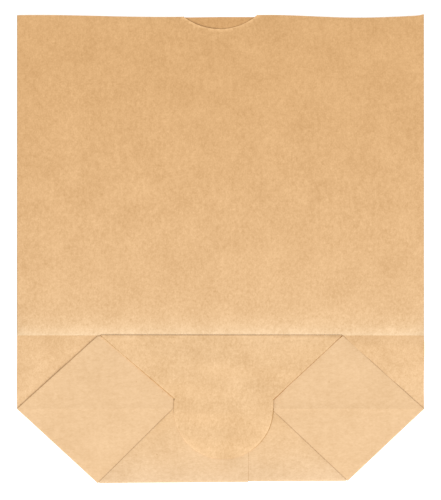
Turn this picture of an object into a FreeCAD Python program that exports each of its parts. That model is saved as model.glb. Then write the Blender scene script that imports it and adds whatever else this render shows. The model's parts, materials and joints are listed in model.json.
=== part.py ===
import FreeCAD, Part
import os
import math

# A kraft paper bag with a cross bottom, folded flat, lying on its back wall.
# Millimetres. X runs across the bag, Y along it with the mouth at +Y, Z up through
# the layers. The origin is under the middle of the bag, on the surface it lies on.

# Driving dimensions of the flat bag
WIDTH = 200.0
LENGTH = 229.0
PAPER = 0.1

# The folded bottom is a hexagon: two side points on its centre line, four corners
BOTTOM_HALF = 36.1
CORNER_IN = 40.0

# The tongue is the rounded end of the front flap
TONGUE_WIDTH = 49.0
TONGUE_SHIFT = 1.5
FRONT_FLAP_REACH = 31.5
BACK_FLAP_REACH = 35.4

# Lengthwise lap seam of the back wall
LAP_EDGE = 13.8
LAP_WIDTH = 15.0
LAP_STEP = 0.7
PASTE_MARGIN = 1.5
PASTE = 0.04

# Thumb notch in the front wall
NOTCH_WIDTH = 36.0
NOTCH_DEPTH = 5.9

# Undersides of the layers, from the table up
Z_BACK = 0.0
Z_FRONT = 0.5
Z_UNDERSIDE = 0.75
Z_CORNER = 0.9
Z_GUSSET = 1.05
Z_BACK_FLAP = 1.2
Z_FRONT_FLAP = 1.35

# Room between bodies at the two hinge lines, and beside the side folds. The flap
# hinges on the centre line of the bottom, and the front panel on the crease.
HINGE_GAP = 0.15
SIDE_GAP = 0.15

# The inner of two nested folds stops this far inside the outer one
NESTED = 0.7

# Turned folds end this far short of the corners where they meet
FOLD_TRIM = 1.0
EDGE_TRIM = 2.0
GUSSET_TRIM = 3.0

# Positions worked out from the dimensions above
Y_BASE = -LENGTH / 2
Y_CENTRE = Y_BASE + BOTTOM_HALF
Y_CREASE = Y_BASE + 2 * BOTTOM_HALF
Y_MOUTH = LENGTH / 2
Y_FRONT_CUT = Y_CREASE - FRONT_FLAP_REACH
Y_BACK_CUT = Y_BASE + BACK_FLAP_REACH
X_SIDE = WIDTH / 2
X_CORNER = X_SIDE - CORNER_IN
TONGUE_RADIUS = TONGUE_WIDTH / 2
TONGUE_LEFT = TONGUE_SHIFT - TONGUE_RADIUS
TONGUE_RIGHT = TONGUE_SHIFT + TONGUE_RADIUS
LAP_START = LAP_EDGE - LAP_WIDTH

SIDES = {"left": -1, "right": 1}
TONGUE_X = {"left": TONGUE_LEFT, "right": TONGUE_RIGHT}


def save(name, shape):
    """Write one sub-part, which must be a single valid solid."""
    if len(shape.Solids) != 1 or not shape.isValid():
        raise ValueError(name + " is not one valid solid")
    shape.Solids[0].exportStep("parts/" + name + ".step")


def vector(point, z):
    """A flat point raised to a height."""
    return FreeCAD.Vector(point[0], point[1], z)


def prism(points, z, height):
    """A flat polygon at height z, made into a solid plate."""
    corners = [vector(point, z) for point in points]
    wire = Part.makePolygon(corners + [corners[0]])
    return Part.Face(wire).extrude(FreeCAD.Vector(0, 0, height))


def bend_radius(z_low, z_high):
    """Outer radius of the turned fold that joins two sheets with these undersides."""
    return (z_high + PAPER - z_low) / 2


def crossing(line_a, line_b):
    """Where two lines, each a point and a direction, cross."""
    (ax, ay), (adx, ady) = line_a
    (bx, by), (bdx, bdy) = line_b
    along = ((bx - ax) * bdy - (by - ay) * bdx) / (adx * bdy - ady * bdx)
    return ax + adx * along, ay + ady * along


def pulled_in(points, distances):
    """A counterclockwise outline with each edge moved inwards by its own distance."""
    lines = []
    for index, distance in enumerate(distances):
        x0, y0 = points[index]
        x1, y1 = points[(index + 1) % len(points)]
        length = math.hypot(x1 - x0, y1 - y0)
        dx = (x1 - x0) / length
        dy = (y1 - y0) / length
        lines.append(((x0 - dy * distance, y0 + dx * distance), (dx, dy)))
    return [crossing(lines[index - 1], lines[index]) for index in range(len(lines))]


def for_side(side, points, distances):
    """A left-hand outline as it is, or mirrored for the right-hand side."""
    if side < 0:
        return points, distances
    flipped = [(-x, y) for x, y in reversed(points)]
    return flipped, distances[-2::-1] + distances[-1:]


def sheet(points, distances, z):
    """A plate of paper inside an outline, short of each edge by its own distance."""
    return prism(pulled_in(points, distances), z, PAPER)


def turned_fold(start, end, z_low, z_high, trim=FOLD_TRIM):
    """The paper turned back on itself along a line, the sheets lying on its left."""
    run = FreeCAD.Vector(end[0] - start[0], end[1] - start[1], 0)
    length = run.Length
    run.normalize()
    inwards = FreeCAD.Vector(-run.y, run.x, 0)
    outer = bend_radius(z_low, z_high)
    centre = vector(start, z_low + outer) + run * trim + inwards * outer
    up = FreeCAD.Vector(0, 0, 1)

    def half_round(radius):
        return centre - up * radius, centre - inwards * radius, centre + up * radius

    outer_low, outer_tip, outer_high = half_round(outer)
    inner_low, inner_tip, inner_high = half_round(outer - PAPER)
    edges = [
        Part.Arc(outer_low, outer_tip, outer_high).toShape(),
        Part.LineSegment(outer_high, inner_high).toShape(),
        Part.Arc(inner_high, inner_tip, inner_low).toShape(),
        Part.LineSegment(inner_low, outer_low).toShape(),
    ]
    return Part.Face(Part.Wire(edges)).extrude(run * (length - 2 * trim))


def side_fold_line(side, start, end, z_low, z_high, trim=FOLD_TRIM):
    """A turned fold given for the left-hand side, mirrored if it is on the right."""
    if side < 0:
        return turned_fold(start, end, z_low, z_high, trim)
    return turned_fold((-end[0], end[1]), (-start[0], start[1]), z_low, z_high, trim)


def left_of_lap(plate, z):
    """The part of a plate that lies to the left of the lap seam's edge."""
    corner = FreeCAD.Vector(-WIDTH, Y_BASE, z)
    return plate.common(Part.makeBox(WIDTH + LAP_EDGE, LENGTH, PAPER, corner))


def lapped_sheet(outline, z_under, z_beside):
    """The right-hand sheet of the lap seam, stepping from under the left one to its level."""
    x_level = LAP_EDGE + LAP_STEP
    section = [
        (LAP_START, z_under),
        (LAP_EDGE, z_under),
        (x_level, z_beside),
        (WIDTH, z_beside),
        (WIDTH, z_beside + PAPER),
        (x_level, z_beside + PAPER),
        (LAP_EDGE, z_under + PAPER),
        (LAP_START, z_under + PAPER),
    ]
    corners = [FreeCAD.Vector(x, Y_BASE, z) for x, z in section]
    face = Part.Face(Part.makePolygon(corners + [corners[0]]))
    low = min(z_under, z_beside)
    high = max(z_under, z_beside) + PAPER
    return face.extrude(FreeCAD.Vector(0, LENGTH, 0)).common(prism(outline, low, high - low))


def seam_paste(y_low, y_high, z):
    """The line of paste in the lap seam between two heights along the bag."""
    corner = FreeCAD.Vector(LAP_START + PASTE_MARGIN, y_low + PASTE_MARGIN, z)
    length = y_high - y_low - 2 * PASTE_MARGIN
    return Part.makeBox(LAP_WIDTH - 2 * PASTE_MARGIN, length, PASTE, corner)


def back_wall():
    """Back wall of the tube: the two edges of the sheet, lapped and pasted."""
    outline = [
        (-X_SIDE, Y_MOUTH),
        (-X_SIDE, Y_CENTRE),
        (-X_CORNER, Y_BASE),
        (X_CORNER, Y_BASE),
        (X_SIDE, Y_CENTRE),
        (X_SIDE, Y_MOUTH),
    ]
    side = bend_radius(Z_BACK, Z_FRONT)
    corner = bend_radius(Z_BACK, Z_CORNER)
    base = bend_radius(Z_BACK, Z_BACK_FLAP)
    trimmed = pulled_in(outline, [side, corner, base, corner, side, 0.0])
    save("back_panel_left", left_of_lap(prism(trimmed, Z_BACK, PAPER), Z_BACK))
    save("back_panel_right", lapped_sheet(trimmed, Z_BACK + PAPER + PASTE, Z_BACK))
    save("back_seam_paste", seam_paste(Y_BASE + base, Y_MOUTH, Z_BACK + PAPER))
    fold = turned_fold((-X_CORNER, Y_BASE), (X_CORNER, Y_BASE), Z_BACK, Z_BACK_FLAP)
    save("base_fold", fold)


def side_folds():
    """The long side edges, where the tube turns from its back wall to its front wall."""
    for name, side in SIDES.items():
        top = (-X_SIDE, Y_MOUTH)
        bottom = (-X_SIDE, Y_CENTRE)
        save("side_fold_" + name, side_fold_line(side, top, bottom, Z_BACK, Z_FRONT, 0.0))


def front_wall():
    """Front wall of the tube: the panel above the crease, and the tuck under the flap."""
    edge = X_SIDE - bend_radius(Z_BACK, Z_FRONT) - SIDE_GAP
    crease = Y_CREASE + HINGE_GAP
    panel = [(-edge, crease), (edge, crease), (edge, Y_MOUTH), (-edge, Y_MOUTH)]
    radius = ((NOTCH_WIDTH / 2) ** 2 + NOTCH_DEPTH ** 2) / (2 * NOTCH_DEPTH)
    centre = FreeCAD.Vector(0, Y_MOUTH - NOTCH_DEPTH + radius, Z_FRONT)
    notch = Part.makeCylinder(radius, PAPER, centre)
    save("front_panel", prism(panel, Z_FRONT, PAPER).cut(notch))

    low = Y_CENTRE + HINGE_GAP
    high = Y_CREASE - HINGE_GAP
    tuck = [(-edge, low), (edge, low), (edge, high), (-edge, high)]
    save("front_tuck", prism(tuck, Z_FRONT, PAPER))


def flap_underside():
    """The front wall turned back up under the folded bottom, as far as the crease."""
    outline = [
        (-X_SIDE, Y_CENTRE),
        (X_SIDE, Y_CENTRE),
        (X_CORNER, Y_CREASE),
        (-X_CORNER, Y_CREASE),
    ]
    corner = bend_radius(Z_UNDERSIDE, Z_CORNER)
    crease = bend_radius(Z_UNDERSIDE, Z_FRONT_FLAP)
    save("flap_underside", sheet(outline, [HINGE_GAP, corner, crease, corner], Z_UNDERSIDE))
    fold = turned_fold((X_CORNER, Y_CREASE), (-X_CORNER, Y_CREASE), Z_UNDERSIDE, Z_FRONT_FLAP)
    save("flap_crease_fold", fold)


def corner_pocket(name, side):
    """One opened corner of the tube, a sheet on each side of the hinge line, and its folds."""
    inner = -abs(TONGUE_X[name])
    nested = NESTED + bend_radius(Z_CORNER, Z_GUSSET)
    side_point = (-X_SIDE, Y_CENTRE)

    outline = [side_point, (inner, Y_CENTRE), (inner, Y_CREASE), (-X_CORNER, Y_CREASE)]
    insets = [HINGE_GAP, 0.0, nested, bend_radius(Z_UNDERSIDE, Z_CORNER)]
    save("corner_" + name + "_upper", sheet(*for_side(side, outline, insets), Z_CORNER))
    fold = side_fold_line(side, (-X_CORNER, Y_CREASE), side_point, Z_UNDERSIDE, Z_CORNER)
    save("corner_fold_" + name + "_upper", fold)

    outline = [side_point, (-X_CORNER, Y_BASE), (inner, Y_BASE), (inner, Y_CENTRE)]
    insets = [bend_radius(Z_BACK, Z_CORNER), nested, 0.0, HINGE_GAP]
    save("corner_" + name + "_lower", sheet(*for_side(side, outline, insets), Z_CORNER))
    fold = side_fold_line(side, side_point, (-X_CORNER, Y_BASE), Z_BACK, Z_CORNER)
    save("corner_fold_" + name + "_lower", fold)


def gussets(name, side):
    """The triangles that turn in under the two flaps, with the folds they hang from."""
    inner = -abs(TONGUE_X[name])
    nested = NESTED + bend_radius(Z_CORNER, Z_GUSSET)

    outline = [(-X_CORNER, Y_CREASE), (inner, Y_FRONT_CUT), (inner, Y_CREASE)]
    insets = [bend_radius(Z_GUSSET, Z_FRONT_FLAP), 0.0, nested]
    triangle = sheet(*for_side(side, outline, insets), Z_GUSSET)
    start = (inner, Y_CREASE - NESTED)
    end = (-X_CORNER, Y_CREASE - NESTED)
    hem = side_fold_line(side, start, end, Z_CORNER, Z_GUSSET, GUSSET_TRIM)
    save("gusset_" + name + "_upper", triangle.fuse(hem))

    outline = [(-X_CORNER, Y_BASE), (inner, Y_BASE), (inner, Y_BACK_CUT)]
    insets = [nested, 0.0, bend_radius(Z_GUSSET, Z_BACK_FLAP)]
    triangle = sheet(*for_side(side, outline, insets), Z_GUSSET)
    start = (-X_CORNER, Y_BASE + NESTED)
    end = (inner, Y_BASE + NESTED)
    hem = side_fold_line(side, start, end, Z_CORNER, Z_GUSSET, GUSSET_TRIM)
    save("gusset_" + name + "_lower", triangle.fuse(hem))


def flap_edge_folds(name, side):
    """The slanting edges of the two flaps, where each turns under into its gusset."""
    inner = -abs(TONGUE_X[name])
    start = (-X_CORNER, Y_CREASE)
    end = (inner, Y_FRONT_CUT)
    fold = side_fold_line(side, start, end, Z_GUSSET, Z_FRONT_FLAP, EDGE_TRIM)
    save("front_flap_fold_" + name, fold)
    start = (inner, Y_BACK_CUT)
    end = (-X_CORNER, Y_BASE)
    fold = side_fold_line(side, start, end, Z_GUSSET, Z_BACK_FLAP, EDGE_TRIM)
    save("back_flap_fold_" + name, fold)


def back_flap():
    """The flap turned up from the back wall, with the lap seam running through it."""
    outline = [
        (-X_CORNER, Y_BASE),
        (X_CORNER, Y_BASE),
        (TONGUE_RIGHT, Y_BACK_CUT),
        (TONGUE_LEFT, Y_BACK_CUT),
    ]
    base = bend_radius(Z_BACK, Z_BACK_FLAP)
    edge = bend_radius(Z_GUSSET, Z_BACK_FLAP)
    trimmed = pulled_in(outline, [base, edge, 0.0, edge])
    save("back_flap_left", left_of_lap(prism(trimmed, Z_BACK_FLAP, PAPER), Z_BACK_FLAP))
    save("back_flap_right", lapped_sheet(trimmed, Z_BACK_FLAP - PASTE - PAPER, Z_BACK_FLAP))
    save("back_flap_seam_paste", seam_paste(Y_BASE + base, Y_BACK_CUT, Z_BACK_FLAP - PASTE))


def front_flap():
    """The flap turned down from the front wall, as far as the hinge line."""
    outline = [
        (-X_CORNER, Y_CREASE),
        (TONGUE_LEFT, Y_FRONT_CUT),
        (TONGUE_LEFT, Y_CENTRE),
        (TONGUE_RIGHT, Y_CENTRE),
        (TONGUE_RIGHT, Y_FRONT_CUT),
        (X_CORNER, Y_CREASE),
    ]
    edge = bend_radius(Z_GUSSET, Z_FRONT_FLAP)
    crease = bend_radius(Z_UNDERSIDE, Z_FRONT_FLAP)
    save("front_flap", sheet(outline, [edge, 0.0, HINGE_GAP, 0.0, edge, crease], Z_FRONT_FLAP))


def half_disc(radius, y_high, z, thickness):
    """The part of a disc about the tongue's centre that lies below a line across it."""
    disc = Part.makeCylinder(radius, thickness, FreeCAD.Vector(TONGUE_SHIFT, Y_CENTRE, z))
    corner = FreeCAD.Vector(TONGUE_SHIFT - radius, Y_BASE, z)
    return disc.common(Part.makeBox(2 * radius, y_high - Y_BASE, thickness, corner))


def tongue():
    """The rounded tongue of the front flap, pasted down over the back flap."""
    save("tongue", half_disc(TONGUE_RADIUS, Y_CENTRE - HINGE_GAP, Z_FRONT_FLAP, PAPER))
    z_paste = Z_BACK_FLAP + PAPER
    radius = TONGUE_RADIUS - PASTE_MARGIN
    patch = half_disc(radius, Y_BACK_CUT - PASTE_MARGIN, z_paste, Z_FRONT_FLAP - z_paste)
    save("tongue_paste", patch)


def main():
    os.makedirs("parts", exist_ok=True)
    back_wall()
    side_folds()
    front_wall()
    flap_underside()
    for name, side in SIDES.items():
        corner_pocket(name, side)
        gussets(name, side)
        flap_edge_folds(name, side)
    back_flap()
    front_flap()
    tongue()


main()
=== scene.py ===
import json
import math

import bmesh
import bpy
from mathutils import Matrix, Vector, noise


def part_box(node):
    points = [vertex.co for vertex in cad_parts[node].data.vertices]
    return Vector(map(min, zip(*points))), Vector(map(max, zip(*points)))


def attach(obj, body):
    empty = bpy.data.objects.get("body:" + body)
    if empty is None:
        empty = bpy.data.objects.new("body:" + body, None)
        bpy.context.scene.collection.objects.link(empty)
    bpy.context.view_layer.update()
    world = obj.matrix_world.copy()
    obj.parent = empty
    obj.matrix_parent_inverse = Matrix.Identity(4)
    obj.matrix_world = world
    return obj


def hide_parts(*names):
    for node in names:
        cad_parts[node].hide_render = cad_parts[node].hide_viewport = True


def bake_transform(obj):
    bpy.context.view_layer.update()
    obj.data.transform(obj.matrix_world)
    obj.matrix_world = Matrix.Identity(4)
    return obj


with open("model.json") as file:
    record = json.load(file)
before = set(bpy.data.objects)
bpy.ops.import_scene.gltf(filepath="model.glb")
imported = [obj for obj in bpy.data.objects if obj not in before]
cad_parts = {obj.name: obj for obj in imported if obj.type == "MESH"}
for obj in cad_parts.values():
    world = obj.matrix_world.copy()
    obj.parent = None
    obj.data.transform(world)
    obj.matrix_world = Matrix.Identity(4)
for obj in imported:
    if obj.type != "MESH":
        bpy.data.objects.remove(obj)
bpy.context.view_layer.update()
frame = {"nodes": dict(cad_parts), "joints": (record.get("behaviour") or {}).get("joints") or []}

MM = 0.001
UP = Vector((0, 0, 1))

# Places taken from the frame
JOINTS = {joint["name"]: joint for joint in frame["joints"]}
HINGE_Y = JOINTS["flap_lift"]["pos_m"][1]
CREASE_Y = JOINTS["mouth_opening"]["pos_m"][1]
MOUTH_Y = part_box("front_panel")[1].y
BASE_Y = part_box("base_fold")[0].y
SIDE_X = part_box("side_fold_right")[1].x
FOLD_TRIM = 1 * MM
CORNER_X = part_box("base_fold")[1].x + FOLD_TRIM
TONGUE_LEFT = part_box("tongue")[0].x
TONGUE_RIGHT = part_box("tongue")[1].x
TONGUE_RADIUS = (TONGUE_RIGHT - TONGUE_LEFT) / 2
TONGUE_X = (TONGUE_RIGHT + TONGUE_LEFT) / 2
LAP_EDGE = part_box("back_flap_left")[1].x
LAP_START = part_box("back_flap_right")[0].x

# Where the slanting edges of the two flaps end, beside the tongue
FRONT_CUT_Y = CREASE_Y - 31.5 * MM
BACK_CUT_LEFT_Y = HINGE_Y + 0.5 * MM
BACK_CUT_RIGHT_Y = HINGE_Y - 1 * MM

# The base was folded by machine a little askew: its corners, and its ends at the lap
BASE_LEFT = (-CORNER_X - 0.4 * MM, BASE_Y - 0.4 * MM)
BASE_RIGHT = (CORNER_X + 2.5 * MM, BASE_Y + 0.7 * MM)
BASE_LAP_LEFT_Y = BASE_Y + 0.2 * MM
BASE_LAP_RIGHT_Y = BASE_Y + 0.5 * MM

# Thumb notch
NOTCH_WIDTH = 36 * MM
NOTCH_DEPTH = 6.3 * MM

# The paper, and the level of each layer's upper side
PAPER = 0.1 * MM
BACK_Z = 0.1 * MM
FRONT_Z = 0.6 * MM
UNDERSIDE_Z = 0.85 * MM
CORNER_Z = 1.0 * MM
GUSSET_Z = 1.05 * MM
BACK_FLAP_Z = 1.3 * MM
FRONT_FLAP_Z = 1.45 * MM
TABLE_Z = 0.0

# The right sheet's step at the lap: one paper, and a little air
LAP_STEP = 0.14 * MM

# Where the paper turns round an edge, its flat part stops about half the drop inside it
SIDE_TURN = 0.3 * MM
SLANT_TURN = 0.5 * MM
BASE_TURN = 0.65 * MM
INNER_TURN = 0.13 * MM
TURN_STEPS = 6

# Raw cut edges are strips of their own, and a point this near to one lies on it
RAW_WIDTH = 0.25 * MM
TONGUE_RAW_WIDTH = 0.45 * MM
NEAR_RAW = 0.05 * MM

# How far to each side of the hinge line the crossing sheets bend, when the flap lifts
BEND_RUN = 1.2 * MM

# The cells that the sheets are cut into: small where a sheet has fine shape
FINE_CELL = 1.2 * MM
CELL = 2 * MM
UNDERSIDE_CELL = 3 * MM
BACK_CELL = 4 * MM


# ---------------------------------------------------------------- how the paper lies

def ripple(x, y, size, seed):
    """Smooth waviness between about -1 and 1, with hollows of about this size."""
    return noise.noise(Vector((x / size, y / size, seed)))


def pasted_pucker(x, y):
    """The two flaps pucker together where they are pasted, mostly across the bag."""
    return 0.47 * MM * (0.6 + ripple(x / 2, y, 10 * MM, 9.2))


def fade(distance, run):
    """1 at an edge, falling to nothing over a run from it."""
    return math.exp(-max(distance, 0.0) / run)


def line_distance(x, y, start, end):
    """How far a point lies to the left of a line."""
    dx, dy = end[0] - start[0], end[1] - start[1]
    return (dx * (y - start[1]) - dy * (x - start[0])) / math.hypot(dx, dy)


def mouth_wave(x):
    """The bag was torn off against a blade, so its mouth isn't quite straight."""
    if x < 0:
        left_wave = 0.47 * math.cos(2 * math.pi * (x + 89 * MM) / (120 * MM))
        return (0.1 + left_wave) * MM
    right_wave = 0.68 * math.cos(2 * math.pi * (x - 23 * MM) / (90 * MM))
    lip = 0.7 * fade(SIDE_X - x, 1.5 * MM)
    return (right_wave - 0.05 + lip) * MM


def back_mouth_wave(x):
    """The back wall ends a little short of the front wall."""
    return -0.4 * MM + 0.5 * min(mouth_wave(x), 0.0)


def front_height(x, y):
    """The front wall swells just above its crease, and lies low along its side edges.

    The crease is rippled at its left end. The wall is settled about the thumb notch, whose
    rim curls up a little."""
    above = y - CREASE_Y
    inside = 1 - fade(SIDE_X - abs(x), 5 * MM)
    swell = 1.7 * MM * (1 - fade(above, 6.5 * MM)) * math.exp(-above / (45 * MM))
    wave = 0.16 * MM * ripple(x, y, 34 * MM, 1.7) * (1 - fade(above, 6 * MM))
    if x < -CORNER_X:
        wave += 0.1 * MM * ripple(x, 2 * y, 6 * MM, 6.1) * fade(above, 4 * MM)
    radius, centre_y = notch_circle()
    from_notch = math.hypot(x, y - centre_y) - radius
    settled = 0.3 * MM * math.exp(-abs(from_notch) / (20 * MM))
    curl = 0.07 * MM * fade(from_notch, 1 * MM)
    at_mouth = fade(MOUTH_Y - y, 15 * MM)
    return FRONT_Z + (swell + wave + (curl - settled) * at_mouth) * inside


def tuck_height(x, y):
    """Beside the flap the front wall rises a little from the crease, more at the right.

    Its middle, under the flap, lies flat."""
    below = CREASE_Y - y
    rise = 0.1 if x < 0 else 0.42 * fade(below - 5 * MM, 7 * MM)
    wave = rise + 0.3 * ripple(x, y, 14 * MM, 3.3)
    waved = abs(x) > CORNER_X * 0.6
    return FRONT_Z + wave * MM * (1 - fade(below, 4 * MM)) * waved


def corner_height(x, y):
    """The corner pockets lie flat, with the tube's old side crease across them.

    The left one lifts along its upper slant, and the right one lies lower there."""
    old_crease = (0.1 if x < 0 else 0.18) * MM * math.exp(-abs(y - HINGE_Y) / (2.2 * MM))
    wave = 0.05 * MM * ripple(x, y, 22 * MM, 4.1)
    from_edge = -line_distance(abs(x), y, (CORNER_X, CREASE_Y), (SIDE_X, HINGE_Y))
    lift = (0.27 if x < 0 else -0.1) * MM * fade(from_edge, 3 * MM)
    from_hinge = max(0.0, (y - HINGE_Y) / (6 * MM))
    from_crease = max(0.0, (CREASE_Y - y) / (2 * MM))
    lift *= min(1.0, from_hinge, from_crease)
    tip = -0.09 * MM * fade(CREASE_Y - y, 2 * MM) * (x < 0)
    return CORNER_Z + old_crease + wave + lift + tip


def back_flap_height(x, y):
    """The back flap: puckered by the paste, and flat along its folds."""
    if x > 0:
        slant = line_distance(x, y, (TONGUE_RIGHT, BACK_CUT_RIGHT_Y), BASE_RIGHT)
    else:
        left_corner = (-BASE_LEFT[0], BASE_LEFT[1])
        slant = line_distance(-x, y, (-TONGUE_LEFT, BACK_CUT_LEFT_Y), left_corner)
    flat = (1 - fade(y - BASE_Y, 9 * MM)) * (1 - fade(abs(slant), 5 * MM))
    return BACK_FLAP_Z - 0.04 * MM + pasted_pucker(x, y) * flat


def front_flap_height(x, y):
    """The front flap and its tongue: low under the crease, and puckered by the paste.

    A narrow ridge runs along the crease, higher at its left."""
    below = CREASE_Y - y
    low = -0.52 * MM * fade(below, 14 * MM)
    pucker = pasted_pucker(x, y) * (1 - fade(below, 9 * MM))
    ridge = (0.13 - 0.05 * x / CORNER_X) * MM * fade(below, 1.3 * MM)
    return FRONT_FLAP_Z + low + pucker + ridge + tongue_roll(x, y)


def tongue_reach(x, y):
    """How far a point lies from the middle of the tongue, which is round below the hinge line."""
    return math.hypot(x - TONGUE_X, min(y - HINGE_Y, 0.0))


def tongue_roll(x, y):
    """The tongue stands up just inside its edge and rolls down to it, more at its right."""
    out = tongue_reach(x, y)
    inside = max(TONGUE_RADIUS - out, 0.0)
    turn = (x - TONGUE_X) / TONGUE_RADIUS
    size = (0.45 if turn > 0 else 0.22) * min(1.0, 1.4 * abs(turn)) * MM
    reach = min(1.0, max(0.0, (HINGE_Y + 6 * MM - y) / (6 * MM)))
    return size * reach * (1 - fade(inside, 1.8 * MM)) * math.exp(-inside / (8 * MM))


# ---------------------------------------------------------------- making sheets

def arc(centre, radius, start, end, steps):
    """Points along a round stretch of an outline, angles in degrees."""
    angles = [math.radians(start + (end - start) * i / steps) for i in range(steps + 1)]
    return [(centre[0] + radius * math.cos(a), centre[1] + radius * math.sin(a)) for a in angles]


def gridded(outline, cell=CELL):
    """A flat sheet inside a counterclockwise outline, cut into cells."""
    bm = bmesh.new()
    bm.faces.new([bm.verts.new((x, y, 0)) for x, y in outline])
    for axis in (0, 1):
        low = min(v.co[axis] for v in bm.verts)
        high = max(v.co[axis] for v in bm.verts)
        count = max(1, math.ceil((high - low) / cell))
        for i in range(1, count):
            cut(bm, axis, low + (high - low) * i / count)
    return bm


def cut(bm, axis, place):
    """Cuts the whole sheet along one line across X (axis 0) or Y (axis 1)."""
    point = Vector((0, 0, 0))
    point[axis] = place
    across = Vector((0, 0, 0))
    across[axis] = 1
    everything = bm.verts[:] + bm.edges[:] + bm.faces[:]
    bmesh.ops.bisect_plane(bm, geom=everything, dist=1e-7, plane_co=point, plane_no=across)


def lay(bm, height):
    """Gives each point of a flat sheet its height."""
    for v in bm.verts:
        v.co.z = height(v.co.x, v.co.y)


def layer(bm, name):
    """A value for each point that the paper's material reads: one holds painted shade, a painted
    highlight where it is below nothing, and the other a painted paler, greyer tone.
    """
    return bm.verts.layers.float.get(name) or bm.verts.layers.float.new(name)


def turn_edge(bm, start, end, low, near=0.02 * MM, painted_light_and_shade=0.0, painted_pale=0.0, least=0.0):
    """Turns the paper down in a half round along one edge of a sheet, to the level low.

    The edge is what lies within near of the line. The turn reaches out by at least the
    distance least, and its painted shade and painted paler tone are alike all round."""
    painted_shading, pale = layer(bm, "painted_light_and_shade"), layer(bm, "painted_pale")
    run = (Vector((*end, 0)) - Vector((*start, 0))).normalized()
    outwards = run.cross(UP)
    length = math.dist(start, end)

    def on_edge(v):
        along = (v.co - Vector((*start, 0))).dot(run)
        side = line_distance(v.co.x, v.co.y, start, end)
        return abs(side) < near and -near < along < length + near

    edges = [e for e in bm.edges if e.is_boundary and all(on_edge(v) for v in e.verts)]
    begun = {tuple(v.co): v.co.copy() for e in edges for v in e.verts}
    for step in range(1, TURN_STEPS + 1):
        made = bmesh.ops.extrude_edge_only(bm, edges=edges)["geom"]
        edges = [g for g in made if isinstance(g, bmesh.types.BMEdge)]
        turn = math.pi * step / TURN_STEPS
        moved = {}
        for v in (g for g in made if isinstance(g, bmesh.types.BMVert)):
            base = begun[tuple(v.co)]
            radius = (base.z - low) / 2
            v.co = base + outwards * max(radius, least) * math.sin(turn)
            v.co -= UP * radius * (1 - math.cos(turn))
            v[painted_shading], v[pale] = painted_light_and_shade, painted_pale
            moved[tuple(v.co)] = base
        begun = moved


def raw_edge(bm, on_edge, outwards, width, painted_light_and_shade, beside):
    """A raw cut edge: a strip of this width along it.

    The last two functions give the painted shade along the strip's outer side and along its inner
    one; below nothing it is a painted highlight."""
    painted_shading = layer(bm, "painted_light_and_shade")
    edges = [e for e in bm.edges if e.is_boundary and all(on_edge(v.co) for v in e.verts)]
    for v in {v for e in edges for v in e.verts}:
        v[painted_shading] = beside(v.co)
    made = bmesh.ops.extrude_edge_only(bm, edges=edges)["geom"]
    for v in (g for g in made if isinstance(g, bmesh.types.BMVert)):
        v[painted_shading] = painted_light_and_shade(v.co)
        v.co += outwards(v.co) * width


def finish_sheet(name, bm, material):
    """Makes the sheet an object, upper side outwards, with the paper's own thickness."""
    bmesh.ops.recalc_face_normals(bm, faces=bm.faces[:])
    if sum(f.normal.z * f.calc_area() for f in bm.faces) < 0:
        bmesh.ops.reverse_faces(bm, faces=bm.faces[:])
    for face in bm.faces:
        face.smooth = True
    for edge in bm.edges:
        edge.smooth = not edge.is_boundary
    mesh = bpy.data.meshes.new(name)
    bm.to_mesh(mesh)
    bm.free()
    mesh.materials.append(material)
    sheet = bpy.data.objects.new(name, mesh)
    bpy.context.collection.objects.link(sheet)
    body = sheet.modifiers.new("paper thickness", "SOLIDIFY")
    body.thickness = PAPER
    body.offset = -1
    return sheet


def pulled_in(points, distances):
    """A counterclockwise outline with each edge moved inwards by its own distance."""
    lines = []
    for index, distance in enumerate(distances):
        start = Vector(points[index])
        run = (Vector(points[(index + 1) % len(points)]) - start).normalized()
        lines.append((start + Vector((-run.y, run.x)) * distance, run))
    made = []
    for index, (start, run) in enumerate(lines):
        before, before_run = lines[index - 1]
        gap = start - before
        along = (gap.x * run.y - gap.y * run.x) / (before_run.x * run.y - before_run.y * run.x)
        made.append(tuple(before + before_run * along))
    return made


def mirrored(points):
    """A left outline as a right one, or a right one as a left one."""
    return [(-x, y) for x, y in reversed(points)]


# ---------------------------------------------------------------- materials

# Where kraft paper is darker it loses blue most and red least
DARK_IS_WARM = (0.78, 1.0, 1.4)

# A texture that isn't stretched
EVEN = (1, 1, 1)

# The paper's broad clouds, fine lengthwise streaks and dark specks
CLOUD_SCALE = 58
STREAK_STRENGTH = 0.06
FIBRE_SHARE = 0.9
SPECK_SCALE = 95
SPECK_SIZE = 0.035
SPECK_DARKNESS = 0.16

# The paper's gloss, and how unevenly its painted light turns from one end to the other
ROUGHNESS = 0.66
ROUGHNESS_SWING = 0.2
PAINTED_LIGHT_CURVE = 1.6

# A painted paler, greyer tone: painted sheen, and the grey of folds in shade
PAINTED_PALE_TONE = (0.80, 0.66, 0.46)
# The flap, base and corner tones are the paper's colour, painted lighter and paler than the
# wall's as painted sheen
FLAP_TONE = (0.756, 0.487, 0.252)
BASE_TONE = (0.742, 0.509, 0.300)
CORNER_TONE = (0.760, 0.503, 0.276)
INNER_TONE = (0.65, 0.361, 0.145)
# The wall's tone is painted darker at the mouth and lighter at the base, as painted light falling
# from the lamp's side
WALL_TONE_MOUTH = (0.702, 0.408, 0.176)
WALL_TONE_BASE = (0.771, 0.505, 0.271)
PASTE_TONES = (0.62, 0.48, 0.28), (0.78, 0.68, 0.48)


def nodes_of(material):
    material.use_nodes = True
    tree = material.node_tree
    return tree, tree.nodes["Principled BSDF"]


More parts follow.
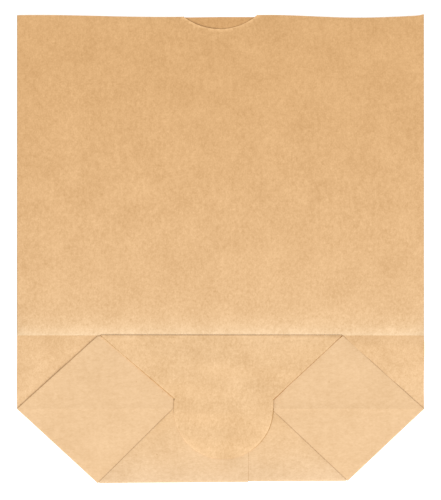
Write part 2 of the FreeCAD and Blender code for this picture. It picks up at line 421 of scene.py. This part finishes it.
def texture(tree, kind, stretch, scale, **inputs):
    """A procedural texture on the object's own coordinates, stretched along its axes."""
    place = tree.nodes.new("ShaderNodeTexCoord")
    mapping = tree.nodes.new("ShaderNodeMapping")
    mapping.inputs["Scale"].default_value = stretch
    made = tree.nodes.new(kind)
    made.inputs["Scale"].default_value = scale
    for name, value in inputs.items():
        made.inputs[name].default_value = value
    tree.links.new(place.outputs["Object"], mapping.inputs["Vector"])
    tree.links.new(mapping.outputs["Vector"], made.inputs["Vector"])
    return made


def math_node(tree, operation, a, b):
    made = tree.nodes.new("ShaderNodeMath")
    made.operation = operation
    for socket, value in zip(made.inputs, (a, b)):
        if isinstance(value, (int, float)):
            socket.default_value = value
        else:
            tree.links.new(value, socket)
    return made.outputs[0]


def mix_colour(tree, share, first, second):
    made = tree.nodes.new("ShaderNodeMix")
    made.data_type = "RGBA"
    tree.links.new(share, made.inputs["Factor"])
    for name, value in (("A", first), ("B", second)):
        socket = [s for s in made.inputs if s.name == name and s.type == "RGBA"][0]
        if isinstance(value, tuple):
            socket.default_value = (*value, 1)
        else:
            tree.links.new(value, socket)
    return [s for s in made.outputs if s.type == "RGBA"][0]


def swing(tree, source, amount):
    """A texture's strength, turned into a change by up to half this amount each way."""
    centred = math_node(tree, "SUBTRACT", source.outputs["Fac"], 0.5)
    return math_node(tree, "MULTIPLY", centred, amount)


def paper_shade(tree, flock, fibre, mottle, clouds):
    """How much darker or lighter than its tone the paper is from place to place: its own streaks,
    clouds and specks, less the painted shade and painted highlight held on its points.
    """
    streak = texture(tree, "ShaderNodeTexNoise", (1, 0.012, 1), 700, Detail=2, Roughness=0.6)
    cloud = texture(tree, "ShaderNodeTexNoise", EVEN, CLOUD_SCALE, Detail=3, Roughness=0.55)
    speck = texture(tree, "ShaderNodeTexVoronoi", EVEN, SPECK_SCALE)
    painted_shading = tree.nodes.new("ShaderNodeAttribute")
    painted_shading.attribute_name = "painted_light_and_shade"
    fibres = swing(tree, fibre, mottle * FIBRE_SHARE)
    shade = math_node(tree, "ADD", swing(tree, flock, mottle), fibres)
    shade = math_node(tree, "ADD", shade, swing(tree, streak, STREAK_STRENGTH))
    shade = math_node(tree, "ADD", shade, swing(tree, cloud, clouds))
    spot = math_node(tree, "LESS_THAN", speck.outputs["Distance"], SPECK_SIZE)
    darkening = math_node(tree, "MULTIPLY", spot, SPECK_DARKNESS)
    shade = math_node(tree, "SUBTRACT", shade, darkening)
    # Painted shade and painted highlight from the points
    return math_node(tree, "SUBTRACT", shade, painted_shading.outputs["Fac"])


def paper_tone(tree, far, near, span):
    """The paper's tone, from far at one end of a span along the bag to near at its other end; the
    change between them is painted light.
    """
    place = tree.nodes.new("ShaderNodeTexCoord")
    split = tree.nodes.new("ShaderNodeSeparateXYZ")
    tree.links.new(place.outputs["Object"], split.inputs[0])
    down = tree.nodes.new("ShaderNodeMapRange")
    down.inputs["From Min"].default_value = span[0]
    down.inputs["From Max"].default_value = span[1]
    tree.links.new(split.outputs["Y"], down.inputs["Value"])
    share = math_node(tree, "POWER", down.outputs["Result"], PAINTED_LIGHT_CURVE)
    return mix_colour(tree, share, far, near)


def vector_node(tree, operation, *values):
    made = tree.nodes.new("ShaderNodeVectorMath")
    made.operation = operation
    for socket, value in zip(made.inputs, values):
        if isinstance(value, tuple):
            socket.default_value = value
        else:
            tree.links.new(value, socket)
    return made.outputs[0]


def kraft(name, far, near, mottle=0.46, clouds=0.29, grain=(1, 0.8, 1), span=(MOUTH_Y, HINGE_Y)):
    """Kraft paper: mottle and clouds are how strong its fine and broad patches are.

    far and near are its tones at the two ends of span, the change between them being painted
    light, and grain stretches its fibres. The painted shade and painted paler tone held on its
    points are read in too."""
    material = bpy.data.materials.new(name)
    tree, shader = nodes_of(material)
    flock = texture(tree, "ShaderNodeTexNoise", grain, 620, Detail=4, Roughness=0.6)
    fibre = texture(tree, "ShaderNodeTexNoise", grain, 1500, Detail=2, Roughness=0.6)
    shade = paper_shade(tree, flock, fibre, mottle, clouds)
    warm = vector_node(tree, "MULTIPLY_ADD", shade, DARK_IS_WARM, (1, 1, 1))
    painted_pale = tree.nodes.new("ShaderNodeAttribute")
    painted_pale.attribute_name = "painted_pale"
    plain = paper_tone(tree, far, near, span)
    # Painted paler, greyer tone where the points hold it: painted sheen, and the grey of folds in
    # shade
    tone = mix_colour(tree, painted_pale.outputs["Fac"], plain, PAINTED_PALE_TONE)
    colour = vector_node(tree, "MULTIPLY", tone, warm)
    tree.links.new(colour, shader.inputs["Base Color"])
    rough = math_node(tree, "ADD", swing(tree, flock, ROUGHNESS_SWING), ROUGHNESS)
    tree.links.new(rough, shader.inputs["Roughness"])
    shader.inputs["Specular IOR Level"].default_value = 0.3
    bump = tree.nodes.new("ShaderNodeBump")
    bump.inputs["Strength"].default_value = 0.35
    bump.inputs["Distance"].default_value = 0.05 * MM
    relief = math_node(tree, "ADD", flock.outputs["Fac"], fibre.outputs["Fac"])
    tree.links.new(relief, bump.inputs["Height"])
    tree.links.new(bump.outputs["Normal"], shader.inputs["Normal"])
    return material


def dry_paste():
    material = bpy.data.materials.new("dry paste")
    tree, shader = nodes_of(material)
    patch = texture(tree, "ShaderNodeTexNoise", EVEN, 260, Detail=4, Roughness=0.6)
    tone = mix_colour(tree, patch.outputs["Fac"], *PASTE_TONES)
    tree.links.new(tone, shader.inputs["Base Color"])
    shader.inputs["Roughness"].default_value = 0.45
    return material


# The wall's tone runs from painted dim at the mouth to painted light at the base
wall_paper = kraft("kraft wall", WALL_TONE_MOUTH, WALL_TONE_BASE)
flap_paper = kraft("kraft flap", FLAP_TONE, FLAP_TONE, clouds=0.42)
# The base flap's tone turns painted lighter and paler toward the base, as painted sheen
end_paper = kraft(
    "kraft base flap",
    FLAP_TONE,
    BASE_TONE,
    mottle=0.37,
    clouds=0.28,
    grain=(0.7, 1, 1),
    span=(HINGE_Y, BASE_Y),
)
corner_paper = kraft(
    "kraft corner",
    CORNER_TONE,
    CORNER_TONE,
    mottle=0.27,
    clouds=0.18,
    grain=(0.6, 1, 1),
)
inner_paper = kraft("kraft inside", INNER_TONE, INNER_TONE)
paste = dry_paste()


# ---------------------------------------------------------------- the bag's sheets

def wavy_mouth(bm, wave):
    """Bends the mouth edge of a wall, and what is close to it, off the straight."""
    for v in bm.verts:
        v.co.y += wave(v.co.x) * fade(MOUTH_Y - v.co.y, 12 * MM)


def notch_circle():
    """Radius of the thumb notch, and how far up the middle of its circle lies."""
    radius = ((NOTCH_WIDTH / 2) ** 2 + NOTCH_DEPTH ** 2) / (2 * NOTCH_DEPTH)
    return radius, MOUTH_Y - NOTCH_DEPTH + radius


def in_lap(x):
    """Whether a point of a right sheet lies on or under the left sheet."""
    return x < LAP_EDGE + 0.1 * MM


def back_wall():
    """The back wall in its two lapped sheets, lying on the table."""
    outline = [
        (-SIDE_X, MOUTH_Y),
        (-SIDE_X, HINGE_Y),
        BASE_LEFT,
        (LAP_EDGE, BASE_LAP_LEFT_Y),
        (LAP_EDGE, MOUTH_Y),
    ]
    bm = gridded(pulled_in(outline, [SIDE_TURN, SLANT_TURN, BASE_TURN, 0, 0]), BACK_CELL)
    wavy_mouth(bm, back_mouth_wave)
    lay(bm, lambda x, y: BACK_Z)
    left = finish_sheet("back_wall_left", bm, inner_paper)
    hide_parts("back_panel_left")

    outline = [
        (LAP_START, MOUTH_Y),
        (LAP_START, BASE_LAP_RIGHT_Y),
        BASE_RIGHT,
        (SIDE_X, HINGE_Y),
        (SIDE_X, MOUTH_Y),
    ]
    bm = gridded(pulled_in(outline, [0, BASE_TURN, SLANT_TURN, SIDE_TURN, 0]), BACK_CELL)
    ramp = 0.7 * MM
    for place in (LAP_EDGE, LAP_EDGE + ramp):
        cut(bm, 0, place)
    wavy_mouth(bm, back_mouth_wave)
    lay(bm, lambda x, y: BACK_Z + (LAP_STEP if in_lap(x) else 0))
    right = finish_sheet("back_wall_right", bm, inner_paper)
    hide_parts("back_panel_right")
    for wall in (left, right):
        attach(wall, "root")


def beside_notch(co):
    """Whether a point is on the front wall's edge, where the notch's raw strip starts."""
    radius, centre_y = notch_circle()
    return abs(math.hypot(co.x, co.y - centre_y) - radius - RAW_WIDTH) < NEAR_RAW


def towards_notch(co):
    """The way from the front wall's edge into the notch."""
    return (Vector((0, notch_circle()[1], 0)) - co).normalized()


def notched_half():
    """Outline of the right half of the front panel, with half of the thumb notch."""
    radius, centre_y = notch_circle()
    radius += RAW_WIDTH
    reach = math.degrees(math.acos((centre_y - MOUTH_Y) / radius))
    notch = arc((0, centre_y), radius, -90 + reach, -90, steps=14)
    edge = SIDE_X - SIDE_TURN
    return [(0, CREASE_Y), (edge, CREASE_Y), (edge, MOUTH_Y)] + notch


def front_wall():
    """The front wall: two halves that bow up between the side folds, and the tuck."""
    edge = SIDE_X - SIDE_TURN
    near = 0.3 * MM
    for name, side in (("left", -1), ("right", 1)):
        outline = notched_half() if side > 0 else mirrored(notched_half())
        bm = gridded(outline)
        # Painted sheen: the wall is painted paler just above its crease, where the light catches
        # its swell
        painted_pale = layer(bm, "painted_pale")
        for v in bm.verts:
            v[painted_pale] = 0.38 * fade(v.co.y - CREASE_Y, 5 * MM)
        # The notch's raw strip and the wall beside it are painted lighter: a painted highlight
        # along the rim
        raw_edge(bm, beside_notch, towards_notch, RAW_WIDTH, lambda co: -0.05, lambda co: -0.24)
        wavy_mouth(bm, mouth_wave)
        lay(bm, front_height)
        bottom = (side * edge, CREASE_Y)
        top = (side * edge, MOUTH_Y + mouth_wave(side * edge))
        run = (bottom, top) if side > 0 else (top, bottom)
        # Painted shade on the side folds' turned edges, darker at the left, and painted greyer
        # there
        turn_edge(bm, *run, TABLE_Z, near, painted_light_and_shade=0.25 if side > 0 else 0.5, painted_pale=0.6)
        half = finish_sheet("front_wall_" + name, bm, wall_paper)
        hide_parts("side_fold_" + name, "front_panel")
        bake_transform(half)

    bm = gridded([(-edge, HINGE_Y), (edge, HINGE_Y), (edge, CREASE_Y), (-edge, CREASE_Y)])
    lay(bm, tuck_height)
    turn_edge(bm, (edge, HINGE_Y), (edge, CREASE_Y), TABLE_Z, near)
    turn_edge(bm, (-edge, CREASE_Y), (-edge, HINGE_Y), TABLE_Z, near)
    tuck = finish_sheet("front_wall_tuck", bm, wall_paper)
    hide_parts("front_tuck")
    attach(tuck, "root")


def flap_underside():
    """The front wall turned back up under the flap, from the hinge line to the crease."""
    outline = [
        (-SIDE_X, HINGE_Y),
        (SIDE_X, HINGE_Y),
        (CORNER_X, CREASE_Y),
        (-CORNER_X, CREASE_Y),
    ]
    # Turned at the hinge line, and elsewhere hidden, clear of the folds that cover it
    inset = pulled_in(outline, [0.15 * MM, 0.2 * MM, 0.3 * MM, 0.2 * MM])
    bm = gridded(inset, UNDERSIDE_CELL)
    lay(bm, lambda x, y: UNDERSIDE_Z)
    turn_edge(bm, inset[0], inset[1], FRONT_Z - PAPER)
    sheet = finish_sheet("flap_underside_sheet", bm, wall_paper)
    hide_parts("flap_underside")
    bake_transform(sheet)


def cut_for_bend(bm):
    """Cuts a sheet finely along the hinge line, where it bends."""
    for place in (-BEND_RUN, -BEND_RUN / 2, 0, BEND_RUN / 2, BEND_RUN):
        cut(bm, 1, HINGE_Y + place)


def bend_at_hinge(sheet):
    """Bakes a sheet's placement into its points."""
    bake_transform(sheet)


def corner_pockets():
    """The two diamonds: the opened corners of the tube, one sheet each."""
    for name, side, inner, base in (
        ("left", -1, TONGUE_LEFT, BASE_LEFT),
        ("right", 1, TONGUE_RIGHT, BASE_RIGHT),
    ):
        outline = [
            (-SIDE_X, HINGE_Y),
            (-abs(base[0]), base[1]),
            (-abs(inner), base[1]),
            (-abs(inner), CREASE_Y),
            (-CORNER_X, CREASE_Y),
        ]
        # Its hidden edges stay clear of the folds that cover them
        inset = pulled_in(outline, [SLANT_TURN, 0.35 * MM, 0, 0.4 * MM, INNER_TURN])
        lower = (inset[0], inset[1])
        upper = (inset[4], inset[0])
        if side > 0:
            inset = mirrored(inset)
            lower = tuple(mirrored(lower))
            upper = tuple(mirrored(upper))
        bm = gridded(inset, FINE_CELL)
        cut_for_bend(bm)
        lay(bm, corner_height)
        # Painted shade on the lower turned edges, painted greyer there, and on the left's upper
        # slant, where a shadow falls beside it
        turn_edge(bm, *lower, TABLE_Z, painted_light_and_shade=0.22, painted_pale=0.5)
        turn_edge(bm, *upper, UNDERSIDE_Z - PAPER, painted_light_and_shade=0.2 if side < 0 else 0.0)
        sheet = finish_sheet("corner_sheet_" + name, bm, corner_paper)
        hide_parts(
            f"corner_{name}_upper",
            f"corner_{name}_lower",
            f"corner_fold_{name}_upper",
            f"corner_fold_{name}_lower",
        )
        bend_at_hinge(sheet)


def back_flap():
    """The flap turned up from the back wall, lapped along the seam."""
    left = [
        BASE_LEFT,
        (LAP_EDGE, BASE_LAP_LEFT_Y),
        (LAP_EDGE, BACK_CUT_LEFT_Y),
        (TONGUE_LEFT, BACK_CUT_LEFT_Y),
    ]
    right = [
        (LAP_START, BASE_LAP_RIGHT_Y),
        BASE_RIGHT,
        (TONGUE_RIGHT, BACK_CUT_RIGHT_Y),
        (LAP_START, BACK_CUT_RIGHT_Y),
    ]
    inset = pulled_in(left, [BASE_TURN, RAW_WIDTH, 0, INNER_TURN])
    bm = gridded(inset, FINE_CELL)
    # A painted shadow along the lap's raw edge
    raw_edge(
        bm,
        on_edge=lambda co: abs(co.x - LAP_EDGE + RAW_WIDTH) < NEAR_RAW,
        outwards=lambda co: Vector((1, 0, 0)),
        width=RAW_WIDTH,
        painted_light_and_shade=lambda co: 0.35,
        beside=lambda co: 0.0,
    )
    lay(bm, back_flap_height)
    # Painted shade and a painted greyer tone on the turned base edge
    turn_edge(bm, inset[0], inset[1], TABLE_Z, painted_light_and_shade=0.28, painted_pale=0.6)
    turn_edge(bm, inset[3], inset[0], GUSSET_Z)
    sheet = finish_sheet("back_flap_left_sheet", bm, end_paper)
    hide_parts("back_flap_left", "base_fold", "back_flap_fold_left")
    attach(sheet, "root")

    inset = pulled_in(right, [BASE_TURN, INNER_TURN, 0, 0])
    bm = gridded(inset, FINE_CELL)
    ramp = 0.35 * MM
    for place in (LAP_EDGE, LAP_EDGE + ramp):
        cut(bm, 0, place)
    lay(bm, lambda x, y: back_flap_height(x, y) - (LAP_STEP if in_lap(x) else 0))
    # Painted shade and a painted greyer tone on the turned base edge
    turn_edge(bm, inset[0], inset[1], TABLE_Z, painted_light_and_shade=0.28, painted_pale=0.6)
    turn_edge(bm, inset[1], inset[2], GUSSET_Z)
    sheet = finish_sheet("back_flap_right_sheet", bm, end_paper)
    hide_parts("back_flap_right", "back_flap_fold_right")
    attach(sheet, "root")


def out_of_tongue(co):
    """The way out of the tongue over its edge."""
    return Vector((co.x - TONGUE_X, min(co.y - HINGE_Y, 0.0), 0)).normalized()


def beside_tongue(co):
    """Whether a point is on the tongue's edge, where its raw strip starts."""
    below_slants = co.y < FRONT_CUT_Y + 0.5 * MM
    from_cut = tongue_reach(co.x, co.y) - TONGUE_RADIUS + TONGUE_RAW_WIDTH
    return below_slants and abs(from_cut) < NEAR_RAW


def tongue_turn(co):
    """How far round the tongue a point lies, in degrees from its right side."""
    return math.degrees(math.atan2(HINGE_Y - co.y, co.x - TONGUE_X))


def tongue_painted_light_and_shade(co):
    """Painted shade on its cut edge at the right and at the slits, and a painted highlight left
    of the tip.
    """
    turn = tongue_turn(co)
    if abs(turn) > 175 or turn <= 0:
        return 0.3
    dark = 0.72 * (1 - min(1.0, max(0.0, turn - 28) / 34))
    light = 0.16 if turn > 100 else 0.0
    return dark - light


def tongue_painted_highlight(co):
    """Just inside the cut edge the paper gets a painted highlight, most beside its painted dark
    stretch.
    """
    return -0.08 if 5 < tongue_turn(co) < 50 else -0.03


def front_flap():
    """The flap turned down from the front wall, with its tongue over the back flap."""
    outline = [
        (CORNER_X, CREASE_Y),
        (-CORNER_X, CREASE_Y),
        (TONGUE_LEFT, FRONT_CUT_Y),
        (TONGUE_LEFT, HINGE_Y),
        (TONGUE_RIGHT, HINGE_Y),
        (TONGUE_RIGHT, FRONT_CUT_Y),
    ]
    # The left slant was folded a little further in than the right
    inset = pulled_in(
        outline,
        [0.02 * MM, 0.8 * MM, TONGUE_RAW_WIDTH, 0, TONGUE_RAW_WIDTH, 0.2 * MM],
    )
    radius = TONGUE_RADIUS - TONGUE_RAW_WIDTH
    tongue = arc((TONGUE_X, HINGE_Y), radius, 180, 360, steps=48)
    bm = gridded(inset[:3] + tongue + inset[5:], FINE_CELL)
    # The tongue's raw edge carries its painted shade and painted highlight
    raw_edge(bm, beside_tongue, out_of_tongue, TONGUE_RAW_WIDTH, tongue_painted_light_and_shade, tongue_painted_highlight)
    # Finer cuts for the narrow ridge along the crease
    for place in (0.5 * MM, 1 * MM):
        cut(bm, 1, CREASE_Y - place)
    cut_for_bend(bm)
    lay(bm, front_flap_height)
    # A painted highlight on the crease's turned edge, lightening its shadow
    turn_edge(bm, inset[0], inset[1], UNDERSIDE_Z - PAPER, painted_light_and_shade=-0.12)
    # Painted shade along the slanting folds, where the gap beneath them lies in shade
    turn_edge(bm, inset[1], inset[2], GUSSET_Z, painted_light_and_shade=0.6, least=0.2 * MM)
    turn_edge(bm, inset[5], inset[0], GUSSET_Z, painted_light_and_shade=0.8, least=0.2 * MM)
    sheet = finish_sheet("front_flap_sheet", bm, flap_paper)
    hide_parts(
        "front_flap",
        "flap_crease_fold",
        "front_flap_fold_left",
        "front_flap_fold_right",
        "tongue",
    )
    bend_at_hinge(sheet)


def hidden_nodes():
    """The gussets and paste between the sheets keep their own solids."""
    for name, node in frame["nodes"].items():
        if node.hide_render:
            continue
        finish = paste if name.endswith("paste") else flap_paper
        node.data.materials.clear()
        node.data.materials.append(finish)


back_wall()
front_wall()
flap_underside()
corner_pockets()
back_flap()
front_flap()
hidden_nodes()


# ---------------------------------------------------------------- table, light, camera

def light_table():
    """A white table lit from within, so that nothing on it casts a visible shadow."""
    bpy.ops.mesh.primitive_plane_add(size=6, location=(0, 0, -0.02 * MM))
    top = bpy.context.object
    top.name = "light_table"
    material = bpy.data.materials.new("glowing white")
    tree, shader = nodes_of(material)
    grain = texture(tree, "ShaderNodeTexNoise", EVEN, 40, Detail=2)
    tone = mix_colour(tree, grain.outputs["Fac"], (0.88, 0.88, 0.88), (0.9, 0.9, 0.9))
    tree.links.new(tone, shader.inputs["Base Color"])
    shader.inputs["Roughness"].default_value = 0.9
    shader.inputs["Emission Color"].default_value = (1, 1, 1, 1)
    shader.inputs["Emission Strength"].default_value = 0.5
    top.data.materials.append(material)


def soft_light(name, azimuth, elevation, distance, size, power):
    """A square soft light aimed at the bag, from this direction about it."""
    lamp = bpy.data.lights.new(name, "AREA")
    lamp.size = size
    lamp.energy = power
    holder = bpy.data.objects.new(name, lamp)
    bpy.context.collection.objects.link(holder)
    a, e = math.radians(azimuth), math.radians(elevation)
    back = Vector((math.sin(a) * math.cos(e), -math.cos(a) * math.cos(e), math.sin(e)))
    holder.location = back * distance
    holder.rotation_euler = (-back).to_track_quat("-Z", "Y").to_euler()


def surroundings(strength):
    world = bpy.data.worlds.new("white room")
    world.use_nodes = True
    world.node_tree.nodes["Background"].inputs["Color"].default_value = (1, 1, 1, 1)
    world.node_tree.nodes["Background"].inputs["Strength"].default_value = strength
    bpy.context.scene.world = world


def overhead_camera():
    """Straight above the bag, and far enough for its sides to look nearly parallel."""
    above = 1.2
    middle_y = -0.35 * MM
    seen_length = 245.7 * MM
    lens = bpy.data.cameras.new("overhead camera")
    lens.sensor_width = 36
    lens.lens = lens.sensor_width * above / seen_length
    camera = bpy.data.objects.new("overhead camera", lens)
    bpy.context.collection.objects.link(camera)
    camera.location = (0, middle_y, above)
    bpy.context.scene.camera = camera


light_table()
soft_light("key light", azimuth=4, elevation=36, distance=1.4, size=0.9, power=15)
surroundings(strength=0.7)
overhead_camera()
bpy.context.scene.view_settings.view_transform = "Standard"
